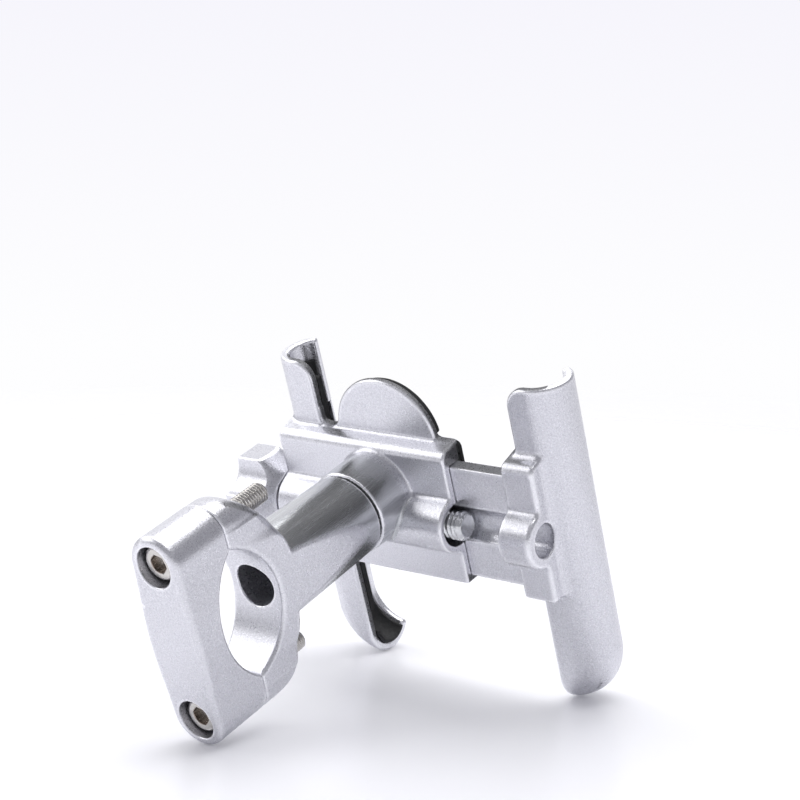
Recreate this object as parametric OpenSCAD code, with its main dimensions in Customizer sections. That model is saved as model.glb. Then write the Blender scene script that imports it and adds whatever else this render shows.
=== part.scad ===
// Handlebar mount for a phone. A cradle grips the phone between a fixed and a sliding jaw,
// and swivels on an arm whose end clamps round a handlebar.
// The origin is where the swivel's axis meets the plane of the phone's back.
// +X runs towards the adjusting knob, +Y from the phone towards the handlebar, +Z up the phone.

/* [Phone] */
// Width of the phone that the jaws hold as drawn
phone_w = 77.9; // [74:0.1:78]
// Distance from the phone's middle to the swivel axis, along X
phone_x = 11.3; // [11.2:0.1:13]

/* [Cradle] */
// Length of the cradle's body along X
body_len = 51.3; // [48:0.1:54]
// Where the body ends on the sliding jaw's side
body_x0 = -22.3; // [-24:0.1:-21]
// Plane of the body's front edges
body_front = 1.5; // [1.4:0.1:1.8]
// Plane of the body's flat back
body_back = 8.4; // [8.2:0.1:9]
// Top edge of the body at its front
body_top = 13.7; // [13:0.1:15]
// Bottom edge of the body
body_bottom = -22; // [-24:0.1:-21.8]
// Radius of the barrel that houses the lead screw
barrel_r = 6.8; // [6.6:0.1:7.4]
// Radius of the round tongue that backs the phone
tongue_r = 15; // [13:0.1:16]
// Middle of the tongue along X
tongue_x = -2.2; // [-5:0.1:0]
// Radius of the swivel boss where it leaves the body
boss_r = 10.8; // [10.6:0.1:11]
// Plane of the swivel boss's face
boss_end = 20; // [18:0.1:21]

/* [Jaws] */
// Outer radius of a jaw's rolled edge
jaw_r_out = 7.6; // [7.2:0.1:8]
// Inner radius of a jaw's rolled edge
jaw_r_in = 5.3; // [5.2:0.1:5.5]
// Height of the jaws' top edge
jaw_top = 30; // [26:0.5:36]
// Height at which the side turns into the foot
jaw_turn_z = -41; // [-44:0.5:-38]
// Width of the block that carries the sliding jaw
block_len = 8.9; // [8:0.1:10]
// Gap between the body and the block as drawn
block_gap = 16.3; // [16:0.1:17]

/* [Lead screw] */
// Distance of the screw's axis behind the phone
screw_y = 7.7; // [7.5:0.1:8]
// Height of the screw's axis
screw_z = -6; // [-6.5:0.1:-5.5]
// Radius of the screw's thread
screw_r = 3.6; // [3.4:0.05:3.65]
// Radius of the screw's journal
journal_r = 3; // [2.8:0.05:3]
// Distance from the screw's axis to the flat top of each of the knob's four lobes
knob_half = 11.2; // [10.6:0.1:11.8]
// Length of the knob
knob_len = 12.7; // [11:0.1:14]

/* [Swivel arm] */
// Radius of the arm at the swivel
arm_r = 10.2; // [10:0.1:10.4]
// Radius of the arm where it meets the clamp
arm_r_clamp = 11; // [10.6:0.1:11.4]
// Plane of the arm's end face
arm_start = 20.6; // [20.6:0.05:20.8]
// Plane on which the swivel bolt's washers bear
bolt_seat = 27; // [26:0.5:29]

/* [Handlebar clamp] */
// Plane where the arm and the cap meet
split_y = 65; // [64:0.1:66]
// Radius of the arm's seat for the handlebar
seat_r = 17; // [16.8:0.05:17.4]
// Depth of the arm's seat behind the split
seat_depth = 11.1; // [10.8:0.1:11.4]
// Depth of the cap's seat in front of the split
cap_depth = 8.2; // [8:0.1:8.6]
// Outer face of the cap
cap_face = 80.9; // [80:0.1:82]
// Distance of each clamp screw from the swivel axis
ear_z = 19.4; // [19.2:0.1:20]
// Radius of the ears round the clamp screws
ear_r = 7; // [6.8:0.1:7.4]
// Half the clamp's width in its middle
clamp_half = 7.9; // [7.6:0.1:8.2]
// Radius of the clamp screws' thread
clamp_screw_r = 2.5; // [2.4:0.05:2.5]

/* [Hidden] */
$fn = 96;

cast_silver = [0.80, 0.80, 0.83];
steel = [0.72, 0.71, 0.69];
chrome = [0.85, 0.86, 0.88];
brass = [0.80, 0.64, 0.30];
rubber = [0.08, 0.08, 0.09];
nylon = [0.12, 0.12, 0.13];

eps = 0.01;              // overshoot of a cut past the face it opens
far = 60;                // reach of a cut that passes right through
run = 0.05;              // radial clearance of a shaft or thread in its hole
slide = 0.1;             // clearance of the rail in its channel

body_x1 = body_x0 + body_len;
end_wall = 4.5;
channel_x1 = body_x1 - end_wall;
ramp_drop = 1.4;         // fall of the body's sloping top from front to back
top_round = 2;
bottom_round = 0.8;
wall_top_z = 8.7;        // ceiling of the rail's channel
wall_bottom_z = -20.6;   // floor of the rail's channel
channel_back = 6.5;
cavity_r = 5.1;          // room for the drive nut inside the barrel

jaw_in = 1.2;            // a jaw plate's inner edge, from the centre of its foot's turn
jaw_cx = 6.45;           // centre of the rolled edge, from the centre of the foot's turn
jaw_cy = -3.65;          // centre of the rolled edge, half the phone's thickness in front
liner_t = 0.8;           // thickness of a jaw's rubber liner, which touches the phone's edge
jaw_reach = phone_w / 2 - (jaw_cx + jaw_r_in - liner_t);
jaw_x_fixed = jaw_reach - phone_x;
jaw_x_moving = -jaw_reach - phone_x;
plate_front = jaw_cy + jaw_r_in - 0.05;
plate_back = jaw_cy + jaw_r_out;
lip_edge = 9.3;          // where the front lip ends, from the centre of the foot's turn
foot_drop = 4;           // straight length of the plate's inner edge below the turn's centre
foot_tip = 0.7;          // length of the foot past the centre of its turn
jaw_corner_r = 5;

rail_front = 2.5;
rail_back = channel_back - slide;
rail_top = wall_top_z - slide;
rail_bottom = wall_bottom_z + slide;
rail_x1 = 9.8;
block_x1 = body_x0 - block_gap;
block_x0 = block_x1 - block_len;
block_bottom = -22.6;
block_hole_r = 4;
trough_r = 4.75;
trough_y = screw_y + 0.6;

nut_x0 = 1.5;
nut_len = 7;
nut_floor = 3.4;
nut_half = 4.8;
nut_r = cavity_r - slide;

plate_t = 0.9;
cover_back = body_front + plate_t;
cover_x0 = body_x0 + 0.3;
cover_x1 = body_x1 - 0.8;
cover_z0 = body_bottom + 0.6;
cover_z1 = body_top - 1.1;
cover_screw_r = 1;
cover_head_r = 1.9;
cover_tip_y = 5.5;       // plane of the cover screws' tips
cover_slot = [2.2, 0.5];
cover_rail_z = 10.4;     // the screws over the channel sit in the wall above it
cover_end_x = body_x1 - 2.9;
cover_screw_at = [[-18.5, cover_rail_z], [6, cover_rail_z], [cover_end_x, 6], [cover_end_x, -17]];

pad_gap = 0.02;
body_pad_t = body_front - pad_gap;
tongue_t = 2;
tongue_drop = 1.2;       // how far the tongue's centre lies below the top of the body
tongue_margin = 0.8;     // how far the tongue's pad stays inside the tongue's edge

screw_tip_x = -25.3;
shoulder_x = channel_x1 - 0.15;
tip_chamfer = 0.9;
bush_r = 4.2;
bush_flange_r = 5;       // the flange lies in the end wall and takes the screw's shoulder
bush_flange_t = 0.8;
washer_r = 5.8;
washer_x0 = body_x1 + run;
washer_t = 0.25;
knob_x0 = washer_x0 + washer_t + run;
knob_scallop_r = 6.2;
knob_scallop_at = 14.8;
knob_cone_r0 = 6.8;      // the knob's inner end is a cone, which clears the fixed jaw
knob_cone_len = 5.4;
journal_end = knob_x0 + knob_len - 1.5;
grub_x = knob_x0 + 5.5;
grub_r = 1.5;
grub_angle = 135;        // the scallop that faces the phone
grub_top = 5;
grub_hex_r = 0.87;

bolt_r = 3;
bolt_head_r = 5;
bolt_head_h = 6;
bolt_hex_r = 2.89;       // 5 mm across the flats
bolt_hex_deep = 3;
bolt_washer_t = 1;
spring_washer_t = 1.5;
bolt_hole_r = 3.3;
counterbore_r = 5.3;
bolt_head_y = bolt_seat + bolt_washer_t + spring_washer_t + 3 * run;
bolt_tip_y = 13.3;
tapped_floor = 12.7;
friction_r = 9.4;
boss_r_end = arm_r + 0.3;

seat_y = split_y - seat_depth + seat_r;
seat_span = sqrt(pow(seat_r, 2) - pow(seat_r - seat_depth, 2));
cap_r = (pow(seat_span, 2) + pow(cap_depth, 2)) / (2 * cap_depth);
cap_y = split_y + cap_depth - cap_r;
back_r = 28;             // radius of the clamp's rounded back
back_y = 76;
back_z = 3;
shank_y1 = back_y - back_r + 6;
low_r = 8;               // radius of the corner under the straight lower part of the back
low_tilt = 12;
half_y0 = 40;            // where the clamp's half starts inside the arm
flat_y0 = 27;            // where the arm's side flats run out towards the swivel
flat_half0 = 10.3;
flat_half1 = 6.8;
clamp_head_r = 4.25;
clamp_head_h = 5;
clamp_head_y = 74.4;
clamp_bore_r = 4.85;
clamp_hole_r = 2.75;
clamp_tip_y = 45;
clamp_tip = 0.7;
clamp_hex_r = 2.31;      // 4 mm across the flats
clamp_hex_deep = 2.6;
crown_r = 430;           // radius of the cap's gently crowned face
crown = 0.7;

function arc(c, r, a0, a1, n = 10) =
    [for (i = [0:n]) c + r * [cos(a0 + (a1 - a0) * i / n), sin(a0 + (a1 - a0) * i / n)]];

// Extrudes a (Y, Z) outline from x0 to x1
module along_x(x0, x1) {
    translate([x0, 0, 0]) rotate([90, 0, 90]) linear_extrude(x1 - x0) children();
}

// Extrudes an (X, Z) outline from y0 to y1
module along_y(y0, y1) {
    translate([0, y1, 0]) rotate([90, 0, 0]) linear_extrude(y1 - y0) children();
}

module rod_x(x0, x1, r, y = screw_y, z = screw_z) {
    translate([x0, y, z]) rotate([0, 90, 0]) cylinder(h = x1 - x0, r = r);
}

// A cylinder or cone along Y, of radius r at y0 and r1 at y1
module rod_y(y0, y1, r, r1 = -1, x = 0, z = 0) {
    translate([x, y0, z]) rotate([-90, 0, 0])
        cylinder(h = y1 - y0, r1 = r, r2 = r1 < 0 ? r : r1);
}

module ring_y(y0, y1, r_in, r_out) {
    difference() {
        rod_y(y0, y1, r_out);
        rod_y(y0 - eps, y1 + eps, r_in);
    }
}

// Casting profile shared by the body and the sliding jaw's block
module casting_profile(bottom) {
    polygon(concat(
        [[body_front, bottom], [body_front, body_top]],
        arc([body_back - top_round, body_top - ramp_drop - top_round + 0.1], top_round, 76, 0),
        arc([body_back - bottom_round, bottom + bottom_round], bottom_round, 0, -90, 4)));
    intersection() {
        translate([screw_y, screw_z]) circle(barrel_r);
        translate([body_front, screw_z - barrel_r]) square(2 * barrel_r);
    }
}

// Jaw section: a flat plate behind the phone, rolled round its edge to a front lip
module jaw_section(inner = jaw_in) {
    difference() {
        union() {
            translate([jaw_cx, jaw_cy]) circle(jaw_r_out);
            translate([inner, plate_front]) square([jaw_cx - inner, plate_back - plate_front]);
        }
        translate([jaw_cx, jaw_cy]) circle(jaw_r_in);
        translate([-far, -far]) square([far + jaw_cx, far + plate_front]);
        translate([jaw_cx - eps, -far]) square([lip_edge - jaw_cx, far + jaw_cy]);
        translate([-far, plate_front - eps]) square([far + inner, far]);
    }
}

// One jaw with its outer side towards +X, about the centre of its foot's turn
module jaw() {
    difference() {
        union() {
            linear_extrude(jaw_top - jaw_turn_z) jaw_section();
            rotate([-90, 0, 0]) rotate_extrude(angle = 90) jaw_section(jaw_in / 2);
            along_x(-foot_tip, 0) rotate(-90) jaw_section(jaw_in / 2);
        }
        translate([-far, -far, -foot_drop]) cube([far + jaw_in, 2 * far, foot_drop + eps]);
        along_y(0, far) difference() {
            translate([jaw_in - eps, jaw_top - jaw_turn_z - jaw_corner_r])
                square(jaw_corner_r + eps);
            translate([jaw_in + jaw_corner_r, jaw_top - jaw_turn_z - jaw_corner_r])
                circle(jaw_corner_r);
        }
    }
}

// Rubber liner inside a jaw's rolled edge and in front of its plate
module jaw_liner_section(back = true) {
    difference() {
        union() {
            translate([jaw_cx, jaw_cy]) circle(jaw_r_in - pad_gap);
            if (back) translate([jaw_in, 0]) square([jaw_cx - jaw_in, plate_front - pad_gap]);
        }
        translate([jaw_cx, jaw_cy]) circle(jaw_r_in - liner_t);
        translate([-far, -far]) square([far + jaw_cx, far]);
        translate([jaw_cx - eps, -far]) square([lip_edge - jaw_cx + 0.4, far + jaw_cy]);
        if (!back) translate([-far, -far]) square([far + jaw_cx, 2 * far]);
    }
}

module jaw_liner() {
    linear_extrude(jaw_top - jaw_corner_r - jaw_turn_z) jaw_liner_section();
}

module foot_liner() {
    rotate([-90, 0, 0]) rotate_extrude(angle = 86) jaw_liner_section(false);
}

module at_fixed_jaw() {
    translate([jaw_x_fixed, 0, jaw_turn_z]) children();
}

module at_moving_jaw() {
    translate([jaw_x_moving, 0, jaw_turn_z]) mirror([1, 0, 0]) children();
}

module channel_profile(floor_y) {
    translate([floor_y, wall_bottom_z]) square([channel_back - floor_y, wall_top_z - wall_bottom_z]);
    translate([screw_y, screw_z]) circle(cavity_r);
}

module tongue_outline(r) {
    intersection() {
        translate([tongue_x, body_top - tongue_drop]) circle(r);
        translate([tongue_x - r, body_top - 1]) square([2 * r, r + 2]);
    }
}

module cradle_body() {
    color(cast_silver) difference() {
        union() {
            along_x(body_x0, body_x1) casting_profile(body_bottom);
            along_y(plate_front, plate_front + tongue_t) tongue_outline(tongue_r);
            rod_y(body_back - 1, boss_end, boss_r, boss_r_end);
            at_fixed_jaw() jaw();
        }
        along_x(body_x0 - eps, channel_x1) channel_profile(0);
        along_y(-far, cover_back) translate([body_x0 - 1, cover_z0 - slide])
            square([cover_x1 + slide - body_x0 + 1, cover_z1 - cover_z0 + 2 * slide]);
        rod_x(channel_x1 - eps, channel_x1 + bush_flange_t, bush_flange_r);
        rod_x(channel_x1, body_x1 + eps, bush_r);
        rod_y(tapped_floor, boss_end + eps, bolt_r + run);
        for (p = cover_screw_at)
            rod_y(cover_back - eps, cover_tip_y + 0.3, cover_screw_r, x = p[0], z = p[1]);
    }
}

module cover_plate() {
    color(steel) difference() {
        along_y(body_front, cover_back) translate([cover_x0, cover_z0])
            square([cover_x1 - cover_x0, cover_z1 - cover_z0]);
        for (p = cover_screw_at) {
            rod_y(0, far, cover_screw_r + 0.1, x = p[0], z = p[1]);
            rod_y(body_front - eps, cover_back + eps, cover_head_r + run, cover_screw_r + 0.1,
                x = p[0], z = p[1]);
        }
    }
}

module cover_screws() {
    color(steel) for (p = cover_screw_at) difference() {
        union() {
            rod_y(body_front, cover_back, cover_head_r, cover_screw_r, x = p[0], z = p[1]);
            rod_y(cover_back - eps, cover_tip_y, cover_screw_r - eps, x = p[0], z = p[1]);
        }
        along_y(0, body_front + 0.5) translate(p) for (a = [0, 90]) rotate(a)
            square(cover_slot, center = true);
    }
}

module body_pad() {
    color(rubber) along_y(0, body_pad_t) translate([cover_x0, cover_z0])
        square([jaw_x_fixed + jaw_in - 0.5 - cover_x0, cover_z1 - cover_z0]);
}

module tongue_pad() {
    color(rubber) along_y(0, plate_front - pad_gap) difference() {
        tongue_outline(tongue_r - tongue_margin);
        translate([tongue_x - far, -far]) square([2 * far, far + body_top + 0.3]);
    }
}

module fixed_jaw_pad() {
    color(rubber) difference() {
        at_fixed_jaw() jaw_liner();
        along_y(body_front - pad_gap, far) translate([0, body_bottom])
            square([far, body_top - body_bottom]);
    }
}

module moving_jaw_pad() {
    color(rubber) difference() {
        at_moving_jaw() jaw_liner();
        along_y(body_front - pad_gap, far) translate([-far - 10, block_bottom])
            square([far, body_top - block_bottom]);
    }
}

module fixed_foot_pad() {
    color(rubber) at_fixed_jaw() translate([0, 0, -pad_gap]) foot_liner();
}

module moving_foot_pad() {
    color(rubber) at_moving_jaw() translate([0, 0, -pad_gap]) foot_liner();
}

module screw_bush() {
    color(brass) difference() {
        union() {
            rod_x(channel_x1, channel_x1 + bush_flange_t, bush_flange_r);
            rod_x(channel_x1 + eps, body_x1, bush_r);
        }
        rod_x(channel_x1 - 1, body_x1 + 1, journal_r + run);
    }
}

module thrust_washer() {
    color(steel) difference() {
        rod_x(washer_x0, washer_x0 + washer_t, washer_r);
        rod_x(washer_x0 - eps, washer_x0 + washer_t + eps, journal_r + run);
    }
}

module lead_screw() {
    color(chrome) {
        translate([screw_tip_x, screw_y, screw_z]) rotate([0, 90, 0])
            cylinder(h = tip_chamfer, r1 = screw_r - tip_chamfer, r2 = screw_r);
        rod_x(screw_tip_x + tip_chamfer - eps, shoulder_x, screw_r);
        rod_x(shoulder_x - eps, journal_end, journal_r);
    }
}

// Four flat-topped lobes with a scallop between each pair
module knob_outline() {
    difference() {
        square(2 * knob_half, center = true);
        for (a = [45:90:315]) rotate(a) translate([knob_scallop_at, 0]) circle(knob_scallop_r);
    }
}

module adjusting_knob() {
    color(cast_silver) difference() {
        intersection() {
            along_x(knob_x0, knob_x0 + knob_len) translate([screw_y, screw_z]) knob_outline();
            translate([knob_x0, screw_y, screw_z]) rotate([0, 90, 0]) union() {
                cylinder(h = knob_cone_len, r1 = knob_cone_r0, r2 = knob_cone_r0 + knob_cone_len);
                translate([0, 0, knob_cone_len - eps])
                    cylinder(h = knob_len - knob_cone_len + 2 * eps, r = knob_cone_r0 + knob_cone_len);
            }
        }
        rod_x(knob_x0 - eps, journal_end + run, journal_r + eps);
        translate([grub_x, screw_y, screw_z]) rotate([grub_angle, 0, 0])
            rotate([-90, 0, 0]) cylinder(h = far, r = grub_r);
    }
}

module knob_grub_screw() {
    color(steel) translate([grub_x, screw_y, screw_z]) rotate([grub_angle, 0, 0])
        rotate([-90, 0, 0]) difference() {
            translate([0, 0, journal_r]) cylinder(h = grub_top - journal_r, r = grub_r - eps);
            translate([0, 0, grub_top - 1]) cylinder(h = 2, r = grub_hex_r, $fn = 6);
        }
}

module sliding_jaw() {
    color(cast_silver) difference() {
        union() {
            along_x(block_x0, block_x1) casting_profile(block_bottom);
            along_x(block_x0 + 1, rail_x1) translate([rail_front, rail_bottom])
                square([rail_back - rail_front, rail_top - rail_bottom]);
            at_moving_jaw() jaw();
        }
        along_x(block_x1, rail_x1 + eps) translate([trough_y, screw_z]) circle(trough_r);
        rod_x(block_x0 - eps, block_x1 + eps, block_hole_r);
        translate([nut_x0, nut_floor, screw_z - nut_half])
            cube([nut_len, far, 2 * nut_half]);
    }
}

module drive_nut() {
    color(brass) difference() {
        union() {
            intersection() {
                rod_x(nut_x0 + pad_gap, nut_x0 + nut_len - pad_gap, nut_r);
                translate([nut_x0, rail_back + slide, screw_z - far]) cube([nut_len, far, 2 * far]);
            }
            translate([nut_x0 + pad_gap, nut_floor, screw_z - nut_half])
                cube([nut_len - 2 * pad_gap, rail_back + slide + eps - nut_floor, 2 * nut_half]);
        }
        rod_x(nut_x0 - 1, nut_x0 + nut_len + 1, screw_r + run);
    }
}

module swivel_bolt() {
    color(steel) difference() {
        union() {
            rod_y(bolt_tip_y, bolt_head_y + eps, bolt_r);
            rod_y(bolt_head_y, bolt_head_y + bolt_head_h, bolt_head_r);
        }
        translate([0, bolt_head_y + bolt_head_h - bolt_hex_deep, 0]) rotate([-90, 0, 0])
            cylinder(h = bolt_hex_deep + eps, r = bolt_hex_r, $fn = 6);
    }
}

module swivel_spring_washer() {
    y0 = bolt_seat + bolt_washer_t + 2 * run;
    color(steel) difference() {
        ring_y(y0, y0 + spring_washer_t, bolt_r + 0.15, bolt_head_r);
        translate([0, y0 - 1, -0.6]) cube([far, 4, 1.2]);
    }
}

module swivel_flat_washer() {
    color(steel) ring_y(bolt_seat + run, bolt_seat + run + bolt_washer_t, bolt_r + 0.2, bolt_head_r + 0.2);
}

module swivel_friction_washer() {
    color(nylon) ring_y(boss_end + run, arm_start - run, bolt_r + 0.2, friction_r);
}

// Outline of the clamp seen along the swivel axis: round ears and a fuller middle
module clamp_outline() {
    side = [for (i = [-8:8]) let (z = ear_z * i / 8)
        [ear_r + (clamp_half - ear_r) * (0.5 + 0.5 * cos(180 * z / ear_z)), z]];
    polygon(concat(side, [for (i = [16:-1:0]) [-side[i][0], side[i][1]]]));
    for (s = [-1, 1]) translate([0, s * ear_z]) circle(ear_r);
}

module clamp_arm() {
    color(cast_silver) difference() {
        intersection() {
            union() {
                rod_y(arm_start, shank_y1, arm_r, arm_r_clamp);
                intersection() {
                    along_y(half_y0, split_y) clamp_outline_wide();
                    along_x(-far, far) clamp_back_profile();
                }
            }
            linear_extrude(2 * far, center = true) polygon([
                [-flat_half1, split_y], [-flat_half0, flat_y0], [-flat_half0 - 1, arm_start - 1],
                [flat_half0 + 1, arm_start - 1], [flat_half0, flat_y0], [flat_half1, split_y]]);
        }
        rod_x(-far, far, seat_r, seat_y, 0);
        rod_y(arm_start - eps, far, bolt_hole_r);
        rod_y(bolt_seat, seat_y, counterbore_r);
        for (s = [-1, 1]) rod_y(half_y0, split_y + eps, clamp_screw_r + run, z = s * ear_z);
    }
}

// The arm's half flares beyond the cap's outline towards the arm, up to its side flats
module clamp_outline_wide() {
    clamp_outline();
    square([2 * flat_half0, 2 * (ear_z - ear_r)], center = true);
}

// Side view of the arm's half: back rounded above and straight below, straight ears, flat split
module clamp_back_profile() {
    ear_end = ear_z + ear_r;
    a_end = asin((ear_end - back_z) / back_r);
    low_z = low_r - ear_end;
    low_y = back_y - back_r + (back_z - low_z) * tan(low_tilt) + low_r / cos(low_tilt);
    polygon(concat(
        [[split_y, -ear_end]],
        arc([low_y, low_z], low_r, 270, 180 + low_tilt, 8),
        arc([back_y, back_z], back_r, 180, 180 - a_end, 12),
        [[split_y, ear_end]]));
}

module clamp_cap() {
    color(cast_silver) difference() {
        intersection() {
            along_y(split_y + run, cap_face + crown) clamp_outline();
            rod_x(-far, far, crown_r, cap_face + crown - crown_r, 0, $fn = 720);
        }
        rod_x(-far, far, cap_r, cap_y, 0);
        for (s = [-1, 1]) {
            rod_y(split_y, cap_face, clamp_hole_r, z = s * ear_z);
            rod_y(clamp_head_y, cap_face + 2, clamp_bore_r, z = s * ear_z);
        }
    }
}

module clamp_screw(z) {
    head_y = clamp_head_y + run;
    color(steel) translate([0, 0, z]) difference() {
        union() {
            rod_y(clamp_tip_y, clamp_tip_y + clamp_tip, clamp_screw_r - clamp_tip, clamp_screw_r);
            rod_y(clamp_tip_y + clamp_tip - eps, head_y + eps, clamp_screw_r);
            rod_y(head_y, head_y + clamp_head_h, clamp_head_r);
        }
        translate([0, head_y + clamp_head_h - clamp_hex_deep, 0]) rotate([-90, 0, 0])
            cylinder(h = clamp_hex_deep + eps, r = clamp_hex_r, $fn = 6);
    }
}

module clamp_screw_upper() {
    clamp_screw(ear_z);
}

module clamp_screw_lower() {
    clamp_screw(-ear_z);
}

cradle_body();
cover_plate();
cover_screws();
body_pad();
tongue_pad();
fixed_jaw_pad();
fixed_foot_pad();
screw_bush();
thrust_washer();
lead_screw();
adjusting_knob();
knob_grub_screw();
sliding_jaw();
drive_nut();
moving_jaw_pad();
moving_foot_pad();
swivel_bolt();
swivel_spring_washer();
swivel_flat_washer();
swivel_friction_washer();
clamp_arm();
clamp_cap();
clamp_screw_upper();
clamp_screw_lower();
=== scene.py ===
"""Looks of the phone handlebar mount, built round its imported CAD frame.

Each visible piece is a solid described by a distance function: negative inside, zero on the surface, positive
outside. Shape functions work in millimetres in the row frame, and meshes are scaled to metres when made.
"""
import math

import bpy
import numpy as np
from mathutils import Matrix, Vector


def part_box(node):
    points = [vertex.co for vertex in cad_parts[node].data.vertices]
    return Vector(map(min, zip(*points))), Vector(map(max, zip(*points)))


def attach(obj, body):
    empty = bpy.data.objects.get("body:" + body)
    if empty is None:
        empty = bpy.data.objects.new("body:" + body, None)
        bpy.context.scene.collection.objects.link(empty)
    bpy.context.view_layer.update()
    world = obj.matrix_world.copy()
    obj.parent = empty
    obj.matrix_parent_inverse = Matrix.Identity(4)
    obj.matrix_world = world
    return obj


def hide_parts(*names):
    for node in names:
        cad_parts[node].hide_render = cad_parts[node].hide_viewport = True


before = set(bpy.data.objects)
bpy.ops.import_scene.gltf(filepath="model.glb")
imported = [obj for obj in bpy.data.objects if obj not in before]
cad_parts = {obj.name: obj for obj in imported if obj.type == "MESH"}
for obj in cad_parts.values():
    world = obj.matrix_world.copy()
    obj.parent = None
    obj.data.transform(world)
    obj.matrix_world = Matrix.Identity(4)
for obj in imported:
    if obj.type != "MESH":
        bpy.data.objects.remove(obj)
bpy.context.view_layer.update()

MM = 0.001


# ---------------------------------------------------------------- sizes, from the frame

def box_mm(node):
    low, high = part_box(node)
    return np.array(low) / MM, np.array(high) / MM


cradle_low, cradle_high = box_mm("cradle_body")
slider_low, slider_high = box_mm("sliding_jaw")
plate_low, plate_high = box_mm("cover_plate")
pad_low, pad_high = box_mm("body_pad")
tongue_pad_low, tongue_pad_high = box_mm("tongue_pad")
screw_low, screw_high = box_mm("lead_screw")
knob_low, knob_high = box_mm("adjusting_knob")
arm_low, arm_high = box_mm("clamp_arm")
cap_low, cap_high = box_mm("clamp_cap")
clamp_screw_low, clamp_screw_high = box_mm("clamp_screw_upper")

FRONT = plate_low[1]
COVER_BACK = plate_high[1]
BODY_X0 = plate_low[0] - 0.3
BODY_X1 = plate_high[0] + 0.8
BODY_TOP = plate_high[2] + 1.1
BODY_BOTTOM = plate_low[2] - 0.6
TONGUE_Z = BODY_TOP - 1.2   # centre of the round tongue
TONGUE_MARGIN = 0.8         # how far the tongue stands out round its pad
TONGUE_T = 2.0
BODY_BACK = 8.4
RAMP_SLOPE = 0.203          # fall of the body's top edge for each millimetre towards the back
BARREL_R = 6.8
BOSS_R = 10.8
BOSS_TAPER = 0.024          # loss of the boss's radius for each millimetre towards its face
BOSS_END = cradle_high[1]
CHANNEL_X1 = BODY_X1 - 4.5
CHANNEL_BACK = 6.5
WALL_TOP = 8.7
WALL_BOTTOM = -20.6
CAVITY_R = 5.1
BUSH_R = 4.22
BUSH_FLANGE_R = 5.02
BUSH_FLANGE_T = 0.82
BOLT_THREAD_R = 3.05
BOLT_THREAD_END = 12.7

SCREW_Y = (screw_low[1] + screw_high[1]) / 2
SCREW_Z = (screw_low[2] + screw_high[2]) / 2
SCREW_R = (screw_high[2] - screw_low[2]) / 2
JOURNAL_R = 3.0
KNOB_CONE_R = 6.8           # radius at the small end of the knob's cone
SCALLOP_R = 6.2
SCALLOP_AT = 14.8           # distance of a scallop's centre from the screw's axis

RIM_OUT = 7.6               # outer radius of a jaw's rolled edge
RIM_IN = 5.3                # inner radius of a jaw's rolled edge
RIM_AT = 6.45               # centre of the rolled edge, outward from the centre of the foot's turn
LIP_AT = 2.85               # edge of the front lip, outward from the centre of the rolled edge
RIM_Y = cradle_low[1] + math.sqrt(RIM_OUT ** 2 - LIP_AT ** 2)
JAW_TOP = cradle_high[2]
TURN_Z = cradle_low[2] + RIM_AT + RIM_OUT
FIXED_TURN_X = cradle_high[0] - RIM_AT - RIM_OUT
MOVING_TURN_X = slider_low[0] + RIM_AT + RIM_OUT
PLATE_EDGE = 1.2            # inner edge of a jaw's plate, outward from the centre of the foot's turn
PLATE_FRONT = RIM_Y + RIM_IN
LINER_T = 0.8               # thickness of the rubber in the rolled edge

BLOCK_X1 = BODY_X0 - 16.3
BLOCK_X0 = BLOCK_X1 - 8.9
BLOCK_BOTTOM = -22.6
RAIL_X1 = slider_high[0]
RAIL_GAP = 0.1
SCREW_HOLE_R = 4.0          # hole through the sliding jaw's block

SPLIT = arm_high[1]
EAR_R = 7.0
EAR_Z = cap_high[2] - EAR_R
WAIST = 7.9
SEAT_R = 17.0
SEAT_Y = 70.9
BACK_R = 28                 # the round upper back of the arm's half, about the point below
BACK_Y = 76
BACK_Z = 3
BACK_LEAN = math.radians(12)    # its straight lower back
ARM_R = 10.2
ARM_TAPER = 0.0237          # gain of the arm's radius for each millimetre towards the clamp
BOLT_HOLE_R = 3.3
COUNTERBORE_R = 5.3
BOLT_SEAT = 27
CLAMP_THREAD_R = 2.55
M5_R = 2.5
HEAD_R = 4.25
HEAD_H = 5
CLAMP_HOLE_R = 2.75
HEAD_BORE_R = 4.85
HEAD_SEAT = 74.4
CROWN_R = 430               # slight crown of the cap's face
FLAT_HALF = 10.3            # half the arm's width across its side flats, where they start at FLAT_Y
FLAT_Y = 27.0
FLAT_SLOPE = 3.5 / 38       # loss of that half-width for each millimetre towards the clamp
CAP_SEAT_R = 19.36
CAP_SEAT_Y = 53.84


# ---------------------------------------------------------------- distance functions

def disc(u, v, centre_u, centre_v, radius):
    return np.hypot(u - centre_u, v - centre_v) - radius


def between(u, low, high):
    return np.maximum(low - u, u - high)


def both(a, b, r=0.0):
    """Where the solids overlap, with the edge between them rounded to radius r."""
    a, b = np.broadcast_arrays(a, b)
    edge = np.hypot(np.maximum(a + r, 0), np.maximum(b + r, 0))
    return np.minimum(np.maximum(a, b), -r) + edge


def join(a, b, r=0.0):
    """Both solids, with a fillet of radius r where they meet."""
    return -both(-a, -b, r)


def cut(a, b, r=0.0):
    """a without b, with the cut's edge rounded to radius r."""
    return both(a, -b, r)


def slab_2d(u, v, u0, u1, v0, v1, r=0.0):
    return both(between(u, u0, u1), between(v, v0, v1), r)


def ease(t):
    t = np.clip(t, 0, 1)
    return t * t * (3 - 2 * t)


def thread(along, u, v, radius, depth, pitch):
    """Distance from a right-handed V thread round the along axis."""
    turn = along / pitch - np.arctan2(v, u) / (2 * math.pi)
    saw = 2 * np.abs(turn - np.floor(turn) - 0.5)
    groove = np.clip(1.35 * saw - 0.2, 0, 1)
    return (np.hypot(u, v) - radius + depth * groove) * 0.7


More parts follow.
